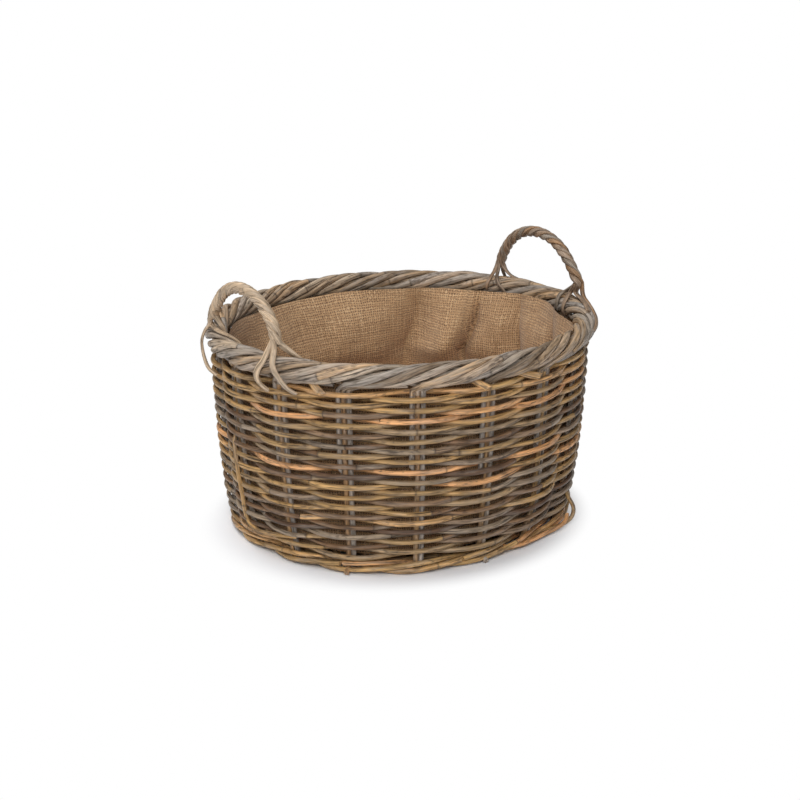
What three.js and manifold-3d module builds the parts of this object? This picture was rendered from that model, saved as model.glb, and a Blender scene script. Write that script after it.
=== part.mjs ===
// Log carrier basket: spiral-woven cane wall on grouped stakes, roped rim, two rope handles, hessian lining.
// Millimetres, +Z up. X runs through the two handles. The basket stands on Z = 0, centred on the Z axis.
import * as THREE from 'three';
import { mergeVertices } from 'three/addons/utils/BufferGeometryUtils.js';
import Module from 'manifold-3d';

// Overall sizes
const RIM_LENGTH = 539;
const RIM_WIDTH = 493;
const RIM_HEIGHT = 281;
const FOOT_INSET = 14.5; // the stakes stand this much further in at the floor than at the rim
const STAKE_SETBACK = 5; // stake centres lie this far inside the rim's centre line

// Clearances
const CLEARANCE = 0.4; // between pieces that touch
const END_GAP = 2; // between the two ends of a strand that goes right round

// Stakes, in groups at an odd number of stations, so that one spiral strand alternates round after round
const STATION_PAIRS = 8;
const FIRST_STATION_DEGREES = 7.5;
const STAKE_DIAMETER = 7;
const STAKES_PER_STATION = 2;
const STAKE_SIDES = 6;
const BYE_STAKE_LENGTH = 112;
const BYE_STAKE_CUT = 9; // drop of the slanted cut at its lower tip
const FOOT_DROP = 3; // cut stake ends stand this far below the foot wale

// Wall weavers
const WEAVER_DIAMETER = 6.3;
const WEAVER_COUNT = 12;
const WEAVER_SIDES = 4;
const FLAT_PASS = 29; // straight run of a weaver where it crosses in front of a station
const BOW_ALLOWANCE = 0.7; // a straight run cuts this far inside the curve of the wall

// Foot wale, one strand that goes round as many times as the stations of one pass
const WALE_DIAMETER = 6.3;
const WALE_PASS = 3;

// Roped rim
const RIM_DIAMETER = 32;
const RIM_STRAND_DIAMETER = 6.9;
const RIM_GROUPS = 3;
const STRANDS_PER_GROUP = 3;
const RIM_TURNS = 6;
const RIM_STEPS_PER_TURN = 9;
const RIM_STRAND_SIDES = 4;
const RIM_CORE_DIAMETER = 14;
const RIM_CORE_STEPS = 27;
const RIM_CORE_SIDES = 6;

// Rope handles
const HANDLE_STRAND_DIAMETER = 5.8;
const HANDLE_STRANDS = 4;
const HANDLE_TURNS = 2.5;
const HANDLE_STEPS = 22;
const HANDLE_STRAND_SIDES = 5;
const FORK_HEIGHT = 18; // the strands part this far above the rim
const TAIL_FAN = 17; // spread of a strand's end along the rim
const RIGHT_HANDLE_SPAN = 156; // between the rope legs, at the forks
const RIGHT_HANDLE_HEIGHT = 366; // from the floor to the top of the arch
const RIGHT_HANDLE_LEAN_DEGREES = -1; // outward from straight up
const LEFT_HANDLE_SPAN = 146;
const LEFT_HANDLE_HEIGHT = 357;
const LEFT_HANDLE_LEAN_DEGREES = 1;
const TAIL_CLEARANCE = 0.6; // between a strand's end and the rim
const OUTSIDE_BENDS_DEGREES = [62, 38, 14, -10, -34]; // round the rim, from straight out towards straight up
const INSIDE_BENDS_DEGREES = [118, 136, 154, 168, 180];

// Woven base
const BASE_HOOP_DIAMETER = 9;
const BASE_HOOP_STEPS = 48;
const BASE_HOOP_SIDES = 5;
const BASE_STICK_DIAMETER = 5.6;
const BASE_STICK_COUNT = 7;
const BASE_STICK_SIDES = 6;
const BASE_WEAVER_DIAMETER = 5.6;
const BASE_WEAVER_SIDES = 4;
const BASE_PITCH = 16;

// Hessian lining
const LINING_THICKNESS = 2.4;
const LINING_DROP = 7; // the hem lies this far below the rim's centre line
const LINING_FOLDS = 7;
const FOLD_DEPTH = 5;
const HEM_DIP = 4;
const LINING_SEGMENTS = 56;
const LINING_RISES = 5;

// Worked-out sizes
const UP = new THREE.Vector3(0, 0, 1);
const HALF_LENGTH = (RIM_LENGTH - RIM_DIAMETER) / 2; // half-axes of the rim's centre line
const HALF_WIDTH = (RIM_WIDTH - RIM_DIAMETER) / 2;
const RIM_Z = RIM_HEIGHT - RIM_DIAMETER / 2;
const STATIONS = 2 * STATION_PAIRS + 1;
const STATION_ANGLE = (2 * Math.PI) / STATIONS;
const STATION_RUN = (Math.PI * (HALF_LENGTH + HALF_WIDTH - 2 * STAKE_SETBACK)) / STATIONS;
const STAKE_TOP = RIM_Z - RIM_DIAMETER / 2 - CLEARANCE / 4;
const WALE_RISE = (WALE_DIAMETER + 2 * CLEARANCE) / 2;
const WALE_Z = FOOT_DROP + WALE_RISE + WALE_DIAMETER / 2;
const WALE_REACH = (STAKE_DIAMETER + WALE_DIAMETER) / 2 + 2 * CLEARANCE + BOW_ALLOWANCE;
const WEAVER_REACH = (STAKE_DIAMETER + WEAVER_DIAMETER) / 2 + CLEARANCE + BOW_ALLOWANCE;
const FIRST_ROW_Z = WALE_Z + WALE_RISE + WALE_DIAMETER / 2 + CLEARANCE + WEAVER_DIAMETER / 2;
const LAST_ROW_Z = STAKE_TOP - CLEARANCE - WEAVER_DIAMETER / 2;
const ROW_PITCH = WEAVER_DIAMETER + CLEARANCE;
const CROSSINGS = Math.floor(((LAST_ROW_Z - FIRST_ROW_Z) / ROW_PITCH) * (STATIONS / WEAVER_COUNT));
const CLIMB = (LAST_ROW_Z - FIRST_ROW_Z) / (CROSSINGS * WEAVER_COUNT);
const PASS_SHARE = FLAT_PASS / 2 / STATION_RUN;
const WALL_DEPTH = WEAVER_REACH + WEAVER_DIAMETER / 2; // from the stakes' centre line to either face
const HOOP_OFFSET = wallOffset(WALE_Z) - WALE_REACH - (WALE_DIAMETER + BASE_HOOP_DIAMETER) / 2 - CLEARANCE;
const BASE_REACH = (BASE_STICK_DIAMETER + BASE_WEAVER_DIAMETER) / 2 + CLEARANCE;
const BASE_TOP = WALE_Z + BASE_REACH + BASE_WEAVER_DIAMETER / 2;
const MERGE_DISTANCE = 1e-3;

const wasm = await Module();
wasm.setup();

const finishes = {
  stake: new THREE.MeshStandardMaterial({ color: 0x857463, roughness: 0.7, metalness: 0 }),
  weaver: new THREE.MeshStandardMaterial({ color: 0x7a623f, roughness: 0.62, metalness: 0 }),
  rim: new THREE.MeshStandardMaterial({ color: 0x93816b, roughness: 0.7, metalness: 0 }),
  paleHandle: new THREE.MeshStandardMaterial({ color: 0xb39a78, roughness: 0.7, metalness: 0 }),
  greyHandle: new THREE.MeshStandardMaterial({ color: 0x7c6d5d, roughness: 0.7, metalness: 0 }),
  base: new THREE.MeshStandardMaterial({ color: 0x8a6f4c, roughness: 0.68, metalness: 0 }),
  hessian: new THREE.MeshStandardMaterial({ color: 0x94744c, roughness: 0.95, metalness: 0 }),
};

// Offset of the stakes' centre line from the rim's centre line, at a height
function wallOffset(z) {
  return -STAKE_SETBACK - FOOT_INSET * (1 - z / RIM_Z);
}

// A point on the oval that lies a given offset outside the rim's centre line
function onOval(angle, offset, z) {
  const x = (HALF_LENGTH + offset) * Math.cos(angle);
  const y = (HALF_WIDTH + offset) * Math.sin(angle);
  return new THREE.Vector3(x, y, z);
}

function outward(angle) {
  return new THREE.Vector3(HALF_WIDTH * Math.cos(angle), HALF_LENGTH * Math.sin(angle), 0).normalize();
}

// A path from point to point, with the section's first axis turned towards a direction given at each point
class StrandPath extends THREE.Curve {
  constructor(points, directions) {
    super();
    this.points = points;
    this.directions = directions;
  }

  getPointAt(share) {
    return this.points[Math.round(share * (this.points.length - 1))].clone();
  }

  computeFrenetFrames() {
    const last = this.points.length - 1;
    const tangents = this.points.map((point, i) => {
      const next = this.points[Math.min(i + 1, last)];
      const previous = this.points[Math.max(i - 1, 0)];
      const ahead = next.clone().sub(point).normalize();
      const behind = point.clone().sub(previous).normalize();
      return ahead.add(behind).normalize();
    });
    const binormals = tangents.map((tangent, i) => tangent.clone().cross(this.directions[i]).normalize());
    const normals = tangents.map((tangent, i) => binormals[i].clone().cross(tangent));
    return { tangents, normals, binormals };
  }
}

function polygon(diameter, sides) {
  const corners = Array.from({ length: sides }, (_, i) => {
    const turn = (2 * Math.PI * i) / sides;
    return new THREE.Vector2((diameter / 2) * Math.cos(turn), (diameter / 2) * Math.sin(turn));
  });
  return new THREE.Shape(corners);
}

function closedGeometry(geometry) {
  geometry.deleteAttribute('normal');
  geometry.deleteAttribute('uv');
  return mergeVertices(geometry, MERGE_DISTANCE);
}

function cane(points, directions, diameter, sides) {
  const extrudePath = new StrandPath(points, directions);
  const options = { steps: points.length - 1, extrudePath, bevelEnabled: false };
  return closedGeometry(new THREE.ExtrudeGeometry(polygon(diameter, sides), options));
}

// An open hoop on the oval, its ends a small gap apart
function hoop(offset, z, diameter, steps, sides, start) {
  const gap = END_GAP / (HALF_WIDTH + offset);
  const points = [];
  for (let i = 0; i <= steps; i += 1) {
    points.push(onOval(start + ((2 * Math.PI - gap) * i) / steps, offset, z));
  }
  return cane(points, points.map(() => UP), diameter, sides);
}

function join(geometries) {
  const solids = geometries.map((geometry) => {
    const vertProperties = geometry.attributes.position.array;
    const triVerts = new Uint32Array(geometry.index.array);
    return new wasm.Manifold(new wasm.Mesh({ numProp: 3, vertProperties, triVerts }));
  });
  const joined = solids.reduce((whole, solid) => whole.add(solid)).getMesh();
  const geometry = new THREE.BufferGeometry();
  geometry.setAttribute('position', new THREE.BufferAttribute(joined.vertProperties, 3));
  geometry.setIndex(new THREE.BufferAttribute(joined.triVerts, 1));
  return geometry;
}

// One straight stake: flats face its neighbours, ends are level, and the foot may carry a slanted cut
function stake(angle, shift, bottom, cut) {
  const profile = polygon(STAKE_DIAMETER, STAKE_SIDES);
  const options = { depth: STAKE_TOP - bottom, bevelEnabled: false };
  const geometry = closedGeometry(new THREE.ExtrudeGeometry(profile, options));
  const position = geometry.attributes.position;
  for (let i = 0; i < position.count; i += 1) {
    const slope = (position.getY(i) / STAKE_DIAMETER + 0.5) * cut;
    position.setZ(i, position.getZ(i) === 0 ? -slope : position.getZ(i));
  }
  const out = outward(angle);
  const along = UP.clone().cross(out);
  const foot = onOval(angle, wallOffset(bottom), bottom);
  const top = onOval(angle, wallOffset(STAKE_TOP), STAKE_TOP);
  const rise = top.sub(foot).divideScalar(STAKE_TOP - bottom);
  const place = new THREE.Matrix4().makeBasis(out, along, rise);
  place.setPosition(foot.addScaledVector(along, shift));
  return geometry.applyMatrix4(place);
}

// The stakes of one station side by side, with a shorter bye-stake added on their left near the rim
function stakeGroup(station) {
  const angle = stationAngle(station);
  const spacing = STAKE_DIAMETER * Math.cos(Math.PI / STAKE_SIDES) - CLEARANCE / 4;
  const members = [];
  for (let i = 0; i < STAKES_PER_STATION; i += 1) {
    members.push(stake(angle, (i + 1 - STAKES_PER_STATION / 2) * spacing, 0, 0));
  }
  const byeShift = (-STAKES_PER_STATION / 2) * spacing;
  members.push(stake(angle, byeShift, STAKE_TOP - BYE_STAKE_LENGTH, BYE_STAKE_CUT));
  return join(members);
}

function stationAngle(station) {
  return THREE.MathUtils.degToRad(FIRST_STATION_DEGREES) + station * STATION_ANGLE;
}

// Sideways place of a weaver: in front of even stations on a flat pass, behind odd ones
function weaveOffset(station) {
  const nearest = Math.round(station);
  const away = Math.abs(station - nearest);
  const fromFront = nearest % 2 === 0 ? away : 1 - away;
  const slant = Math.max(0, fromFront - PASS_SHARE) / (1 - PASS_SHARE);
  return WEAVER_REACH * (1 - 2 * slant);
}

function wallWeaver(index) {
  const first = index * CROSSINGS;
  const last = first + CROSSINGS - 1;
  const endShare = 0.5 - END_GAP / STATION_RUN;
  const stops = [first - endShare];
  for (let station = first; station <= last; station += 1) {
    if (station % 2 === 0) {
      stops.push(station - PASS_SHARE, station + PASS_SHARE);
    } else {
      stops.push(station);
    }
  }
  stops.push(last + endShare);
  const points = stops.map((stop) => {
    const z = FIRST_ROW_Z + stop * CLIMB;
    return onOval(stationAngle(stop), wallOffset(z) + weaveOffset(stop), z);
  });
  return cane(points, points.map(() => UP), WEAVER_DIAMETER, WEAVER_SIDES);
}

// Each pass of the wale lies low in front of one station, high in front of the next and behind the third,
// so that every round rises over the one before it
function footWale() {
  const stops = [
    [-PASS_SHARE, WALE_REACH, -WALE_RISE],
    [PASS_SHARE, WALE_REACH, -WALE_RISE],
    [1 - PASS_SHARE, WALE_REACH, WALE_RISE],
    [1 + PASS_SHARE, WALE_REACH, WALE_RISE],
    [1.5, 0, WALE_RISE],
    [2 - PASS_SHARE, -WALE_REACH, 0],
    [2 + PASS_SHARE, -WALE_REACH, 0],
    [2.5, 0, -WALE_RISE],
  ];
  const points = [];
  for (let station = 0; station < WALE_PASS * STATIONS; station += WALE_PASS) {
    stops.forEach(([stop, reach, rise]) => {
      points.push(onOval(stationAngle(station + stop), wallOffset(WALE_Z) + reach, WALE_Z + rise));
    });
  }
  points.pop();
  return cane(points, points.map(() => UP), WALE_DIAMETER, WEAVER_SIDES);
}

// One rim strand, laid round the core; strands lie close within a group and grooves part the groups
function rimStrand(index) {
  const count = RIM_GROUPS * STRANDS_PER_GROUP;
  const steps = RIM_TURNS * RIM_STEPS_PER_TURN;
  const reach = (RIM_DIAMETER - RIM_STRAND_DIAMETER) / 2;
  const lay = Math.atan((2 * Math.PI * reach * RIM_TURNS) / (Math.PI * (HALF_LENGTH + HALF_WIDTH)));
  const pitch = (RIM_STRAND_DIAMETER + CLEARANCE) / Math.cos(lay);
  const spacing = 2 * Math.asin(pitch / (2 * reach));
  const group = Math.floor(index / STRANDS_PER_GROUP);
  const phase = (2 * Math.PI * group) / RIM_GROUPS + (index % STRANDS_PER_GROUP) * spacing;
  const firstStep = Math.round((steps * index) / count);
  const points = [];
  const directions = [];
  for (let i = 0; i <= steps; i += 1) {
    const trim = i === steps ? END_GAP / HALF_WIDTH : 0;
    const angle = (2 * Math.PI * (firstStep + i)) / steps - trim;
    const turn = phase + RIM_TURNS * angle;
    const direction = outward(angle).multiplyScalar(Math.cos(turn)).addScaledVector(UP, Math.sin(turn));
    points.push(onOval(angle, 0, RIM_Z).addScaledVector(direction, reach));
    directions.push(direction);
  }
  return cane(points, directions, RIM_STRAND_DIAMETER, RIM_STRAND_SIDES);
}

// One handle strand at the +X end: a tail on the rim, the twist over the arch, and a tail at the other foot
function handleStrand(index, span, height, leanDegrees) {
  const reach = (HANDLE_STRAND_DIAMETER + CLEARANCE) / (2 * Math.sin(Math.PI / HANDLE_STRANDS));
  const lean = Math.tan(THREE.MathUtils.degToRad(leanDegrees));
  const across = new THREE.Vector3(1, 0, -lean).normalize();
  const footAngle = Math.asin(span / 2 / HALF_WIDTH);
  const forkZ = RIM_HEIGHT + FORK_HEIGHT;
  const archHeight = height - reach - HANDLE_STRAND_DIAMETER / 2 - forkZ;
  const phase = (2 * Math.PI * (index + 0.5)) / HANDLE_STRANDS;
  const points = [];
  const directions = [];
  for (let i = 0; i <= HANDLE_STEPS; i += 1) {
    const sweep = (Math.PI * i) / HANDLE_STEPS;
    const turn = phase - 2 * HANDLE_TURNS * sweep;
    const z = forkZ + archHeight * Math.sin(sweep);
    const x = HALF_LENGTH * Math.cos(footAngle) + lean * (z - RIM_Z);
    const axis = new THREE.Vector3(x, (-span / 2) * Math.cos(sweep), z);
    const climb = archHeight * Math.cos(sweep);
    const tangent = new THREE.Vector3(lean * climb, (span / 2) * Math.sin(sweep), climb).normalize();
    const direction = across.clone().cross(tangent).multiplyScalar(Math.cos(turn));
    direction.addScaledVector(across, Math.sin(turn));
    points.push(axis.addScaledVector(direction, reach));
    directions.push(direction);
  }
  const firstTail = handleTail(-footAngle, -1, phase);
  const lastTail = handleTail(footAngle, 1, phase - 2 * Math.PI * HANDLE_TURNS);
  firstTail.points.reverse();
  firstTail.directions.reverse();
  const route = [...firstTail.points, ...points, ...lastTail.points];
  const turned = [...firstTail.directions, ...directions, ...lastTail.directions];
  return cane(route, turned, HANDLE_STRAND_DIAMETER, HANDLE_STRAND_SIDES);
}

// A strand's end, bent over the rim: outside it or inside it by the side on which it leaves the rope
function handleTail(footAngle, footSide, turn) {
  const bends = Math.sin(turn) > 0 ? OUTSIDE_BENDS_DEGREES : INSIDE_BENDS_DEGREES;
  const spread = footSide * Math.sign(Math.cos(turn)) * TAIL_FAN;
  const halfDepth = (HANDLE_STRAND_DIAMETER / 2) * Math.cos(Math.PI / HANDLE_STRAND_SIDES);
  const reach = RIM_DIAMETER / 2 + halfDepth + TAIL_CLEARANCE;
  const points = [];
  const directions = [];
  bends.forEach((bend, i) => {
    const share = (i + 2) / (bends.length + 1);
    const angle = footAngle + (spread * share) / HALF_WIDTH;
    const roll = THREE.MathUtils.degToRad(bend);
    const direction = outward(angle).multiplyScalar(Math.cos(roll)).addScaledVector(UP, Math.sin(roll));
    points.push(onOval(angle, 0, RIM_Z).addScaledVector(direction, reach));
    directions.push(direction);
  });
  return { points, directions };
}

// Half of a chord across the space inside the base hoop, along X at a given Y or along Y at a given X
function insideHoop(halfAlong, halfAcross, across) {
  const along = halfAlong + HOOP_OFFSET - BASE_HOOP_DIAMETER / 2;
  const limit = halfAcross + HOOP_OFFSET - BASE_HOOP_DIAMETER / 2;
  return along * Math.sqrt(Math.max(0, 1 - (across / limit) ** 2));
}

function stickPlace(index) {
  const spacing = (2 * (HALF_WIDTH + HOOP_OFFSET)) / (BASE_STICK_COUNT + 1);
  return (index - (BASE_STICK_COUNT - 1) / 2) * spacing;
}

function baseStick(index) {
  const place = stickPlace(index);
  const half = insideHoop(HALF_LENGTH, HALF_WIDTH, Math.abs(place) + BASE_STICK_DIAMETER / 2) - 2 * CLEARANCE;
  const points = [-half, half].map((x) => new THREE.Vector3(x, place, WALE_Z));
  return cane(points, [UP, UP], BASE_STICK_DIAMETER, BASE_STICK_SIDES);
}

// One strand woven to and fro across the sticks, turning back inside the hoop at each side
function baseWeaver() {
  const sticks = Array.from({ length: BASE_STICK_COUNT }, (_, i) => stickPlace(i));
  const reachX = HALF_LENGTH + HOOP_OFFSET - BASE_HOOP_DIAMETER / 2;
  const passes = 2 * Math.floor((reachX - BASE_PITCH) / BASE_PITCH);
  const passPlace = (pass) => (pass - (passes - 1) / 2) * BASE_PITCH;
  const turnAfter = (pass) => {
    const outer = Math.max(Math.abs(passPlace(pass)), Math.abs(passPlace(pass + 1)));
    return turnPlace(outer, sticks);
  };
  const points = [];
  for (let pass = 0; pass < passes; pass += 1) {
    const x = passPlace(pass);
    const heading = pass % 2 === 0 ? 1 : -1;
    const start = -turnAfter(pass - 1) + BASE_PITCH / 2;
    const end = turnAfter(pass) - BASE_PITCH / 2;
    sticks.forEach((_, i) => {
      const stick = heading > 0 ? i : BASE_STICK_COUNT - 1 - i;
      const along = heading * sticks[stick];
      if (along > start + BASE_REACH && along < end - BASE_REACH) {
        const over = (stick + pass) % 2 === 0 ? 1 : -1;
        points.push(new THREE.Vector3(x, sticks[stick], WALE_Z + over * BASE_REACH));
      }
    });
    if (pass < passes - 1) {
      points.push(new THREE.Vector3(x, heading * end, WALE_Z));
      points.push(new THREE.Vector3(x + BASE_PITCH / 2, heading * (end + BASE_PITCH / 2), WALE_Z));
      points.push(new THREE.Vector3(x + BASE_PITCH, heading * end, WALE_Z));
    }
  }
  return cane(points, points.map(() => UP), BASE_WEAVER_DIAMETER, BASE_WEAVER_SIDES);
}

// How far out a turn of the base weaver can lie: inside the hoop, and short of the next stick
function turnPlace(x, sticks) {
  const half = insideHoop(HALF_WIDTH, HALF_LENGTH, x + BASE_PITCH / 2);
  const limit = half - BASE_WEAVER_DIAMETER / 2 - CLEARANCE;
  const beyond = sticks.filter((y) => y > limit - BASE_PITCH / 2 - BASE_REACH);
  return Math.min(limit, ...beyond.map((y) => y - BASE_REACH));
}

// The lining: a bag against the inside of the wall, with soft folds that deepen towards its dipping hem
function lining() {
  const floorZ = BASE_TOP + CLEARANCE;
  const hemZ = RIM_Z - LINING_DROP;
  const faceOffset = (z) => wallOffset(z) - WALL_DEPTH - CLEARANCE;
  const wall = Array.from({ length: LINING_RISES + 1 }, (_, i) => {
    return floorZ + ((hemZ - floorZ) * i) / LINING_RISES;
  });
  const outer = wall.map((z) => new THREE.Vector2(HALF_LENGTH + faceOffset(z), z));
  const inner = wall.map((z) => {
    const height = Math.max(z, floorZ + LINING_THICKNESS);
    return new THREE.Vector2(HALF_LENGTH + faceOffset(height) - LINING_THICKNESS, height);
  });
  const profile = [
    new THREE.Vector2(0, floorZ),
    ...outer,
    ...inner.reverse(),
    new THREE.Vector2(0, floorZ + LINING_THICKNESS),
  ];
  const geometry = closedGeometry(new THREE.LatheGeometry(profile, LINING_SEGMENTS).rotateX(Math.PI / 2));
  const position = geometry.attributes.position;
  for (let i = 0; i < position.count; i += 1) {
    const x = position.getX(i);
    const y = position.getY(i);
    const z = position.getZ(i);
    const angle = Math.atan2(y, x);
    const height = Math.max(0, (z - floorZ) / (hemZ - floorZ));
    const fold = 0.5 - 0.5 * Math.cos(LINING_FOLDS * angle + Math.sin(2 * angle));
    const radius = Math.hypot(x, y);
    const drawn = radius > 0 ? 1 - (FOLD_DEPTH * fold * height ** 2) / radius : 1;
    const oval = (HALF_WIDTH + faceOffset(z)) / (HALF_LENGTH + faceOffset(z));
    position.setXYZ(i, x * drawn, y * drawn * oval, z - HEM_DIP * fold * height ** 4);
  }
  return geometry;
}

const basket = new THREE.Group();

function place(parent, name, geometry, finish) {
  const mesh = new THREE.Mesh(geometry, finish);
  mesh.name = name;
  parent.add(mesh);
}

function numbered(name, index) {
  return `${name}_${String(index + 1).padStart(2, '0')}`;
}

for (let i = 0; i < STATIONS; i += 1) {
  place(basket, numbered('stake_group', i), stakeGroup(i), finishes.stake);
}

for (let i = 0; i < WEAVER_COUNT; i += 1) {
  place(basket, numbered('wall_weaver', i), wallWeaver(i), finishes.weaver);
}
place(basket, 'foot_wale', footWale(), finishes.weaver);

place(basket, 'rim_core', hoop(0, RIM_Z, RIM_CORE_DIAMETER, RIM_CORE_STEPS, RIM_CORE_SIDES, 0), finishes.rim);
for (let i = 0; i < RIM_GROUPS * STRANDS_PER_GROUP; i += 1) {
  place(basket, numbered('rim_strand', i), rimStrand(i), finishes.rim);
}

const rightHandle = new THREE.Group();
const leftHandle = new THREE.Group();
leftHandle.rotation.z = Math.PI;
basket.add(rightHandle, leftHandle);
for (let i = 0; i < HANDLE_STRANDS; i += 1) {
  const right = handleStrand(i, RIGHT_HANDLE_SPAN, RIGHT_HANDLE_HEIGHT, RIGHT_HANDLE_LEAN_DEGREES);
  const left = handleStrand(i, LEFT_HANDLE_SPAN, LEFT_HANDLE_HEIGHT, LEFT_HANDLE_LEAN_DEGREES);
  place(rightHandle, numbered('right_handle_strand', i), right, finishes.greyHandle);
  place(leftHandle, numbered('left_handle_strand', i), left, finishes.paleHandle);
}

const baseHoop = hoop(HOOP_OFFSET, WALE_Z, BASE_HOOP_DIAMETER, BASE_HOOP_STEPS, BASE_HOOP_SIDES, 0);
place(basket, 'base_hoop', baseHoop, finishes.base);
for (let i = 0; i < BASE_STICK_COUNT; i += 1) {
  place(basket, numbered('base_stick', i), baseStick(i), finishes.base);
}
place(basket, 'base_weaver', baseWeaver(), finishes.base);
place(basket, 'hessian_lining', lining(), finishes.hessian);

export default basket;
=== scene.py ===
"""Log carrier basket in weathered cane, with a roped rim, two rope handles and a hessian lining."""
import math
import random
from math import cos, pi, radians, sin

import bmesh
import bpy
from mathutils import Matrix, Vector, noise


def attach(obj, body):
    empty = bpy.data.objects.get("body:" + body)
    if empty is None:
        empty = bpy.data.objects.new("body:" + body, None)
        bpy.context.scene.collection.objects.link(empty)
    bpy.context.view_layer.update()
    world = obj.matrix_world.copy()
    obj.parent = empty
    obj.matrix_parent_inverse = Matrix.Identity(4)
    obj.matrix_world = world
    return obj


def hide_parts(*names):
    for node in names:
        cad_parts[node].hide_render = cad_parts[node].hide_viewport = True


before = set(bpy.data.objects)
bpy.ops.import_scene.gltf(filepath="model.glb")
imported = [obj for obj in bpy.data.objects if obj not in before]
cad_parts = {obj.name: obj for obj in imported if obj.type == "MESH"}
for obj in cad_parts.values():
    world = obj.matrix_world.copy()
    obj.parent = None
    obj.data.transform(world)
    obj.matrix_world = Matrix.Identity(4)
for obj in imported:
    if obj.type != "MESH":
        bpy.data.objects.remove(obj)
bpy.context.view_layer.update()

MM = 0.001
UP = Vector((0, 0, 1))

# Overall sizes. Lengths are in millimetres where nothing else is said
RIM_LENGTH = 539
RIM_WIDTH = 493
RIM_HEIGHT = 281
RIM_DIAMETER = 32
FOOT_INSET = 17.5  # the stakes stand this much further in at the floor
STAKE_SETBACK = 2  # stake centres lie this far inside the rim's centre line
WALL_BELLY = 4  # the wall swells out by this much halfway up
FOOT_BEND_Z = 80  # below this the foot is pressed out of round
# Degrees round the basket, and how far out from the even oval the foot stands there at the floor
FOOT_SHAPE = (
    (0, -1), (110, 0), (165, -4), (188, -11), (204, -4), (218, 0), (234, 3), (250, -1), (262, -6),
    (275, -9), (288, -15), (300, -7), (310, -4), (330, -3), (360, -1))
HALF_LENGTH = (RIM_LENGTH - RIM_DIAMETER) / 2
HALF_WIDTH = (RIM_WIDTH - RIM_DIAMETER) / 2
RIM_Z = RIM_HEIGHT - RIM_DIAMETER / 2

# Stations, where the stakes stand in groups, and the run from one to the next
STATIONS = 17
FIRST_STATION = radians(8.1)
STATION_RUN = pi * (HALF_LENGTH + HALF_WIDTH - 2 * STAKE_SETBACK) / STATIONS
RIM_RUN = pi * (HALF_LENGTH + HALF_WIDTH) / STATIONS

# Canes. A stray is a pair: how far something departs by chance from its even run, and how quickly that
# changes with each millimetre
CANE_SIDES = 10
RADIUS_STRAY = (0.07, 0.011)  # as a share of the radius
INTERNODE = (110, 290)  # shortest and longest run between two leaf scars
FIRST_SCAR = (0.1, 1)  # place of the first, as a share of the longest run
SCAR_SWELL = 0.07  # of the radius
SCAR_REACH = 2.6  # half the length of the swelling
SCAR_CLEAR = 1.3  # even rings keep this many reaches away
# Places across a scar in reaches, and the share of the swelling there
SCAR_PROFILE = ((-1, 0), (-0.35, 0.5), (0, 1), (0.35, 0.4), (1, 0))
SEED_RANGE = 900
SEED_STRIDE = 40  # gives each cane its own stretch of bark
WEAVER_DIAMETER = 6.5
STAKE_DIAMETER = 6.9
RIM_CANE_DIAMETER = 9.2

# Wall weave
WEAVER_COUNT = 12
CROSSINGS = 47  # stations that one weaver passes
FIRST_ROW_Z = 19.95
LAST_ROW_Z = 245.35
CLIMB = (LAST_ROW_Z - FIRST_ROW_Z) / (WEAVER_COUNT * CROSSINGS)
WEAVE_REACH = 7.2
WEAVE_ROUNDING = 0.2  # makes a weaver keep its reach for longer than a plain wave
WEAVER_STRAY = (0.6, 0.021)
WEAVER_SAG_STRAY = (1.5, 0.015)
ROW_SAG = 2.2  # the rows sag together in patches of the wall
ROW_SAG_PATCHES = 2.2  # round the wall, roughly
ROW_SAG_PACE = 0.016
CANE_RUN = (1300, 2600)  # from one butt joint to the next; a piece's last cane takes up the rest
CANE_SIZES = (0.86, 1.12)  # thinnest and thickest, as shares of the diameter
BUTT_GAP = 0.8  # at each end
BUTT_CUTS = (-5, 5)  # slants of the cut ends
# Heights, with the lightness of the darkest and the palest cane there
WALL_TONES = (
    (0, 0.3, 0.75), (60, 0.05, 0.5), (115, 0.35, 0.75), (165, 0.0, 0.4), (205, 0.2, 0.6), (260, 0.3, 0.7))
TONE_REACH = 0.2  # a cane's tones between leaf scars differ this much from its own
FRESH_CANES = ((295.6, 302.6), (466.6, 473.2))  # bright stretches, in stations along the spiral
FRESH_TONE = 0.96

# Foot wale, with canes given by their length in stations and their tones
WALE_Z = 10.2
WALE_RISE = 4.7
WALE_REACH = 7.4
WALE_SHAPE = 0.35  # makes the strands stay out over two stations and in behind one
WALE_STRANDS = 3
WALE_STAGGER = 2.3  # stations between the strands' first ends
WALE_CANES = ((7.6, (0.45, 0.85)), (4.1, (0.6, 0.88)), (5.3, (0.4, 0.85)))
WALE_GAP = 1
WALE_SAG_STRAY = (0.7, 0.013)
WALE_CUTS = (3, 3)
FRESH_FOOT = (12.7, 14.1)  # a bright stretch of its first strand, in stations

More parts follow.
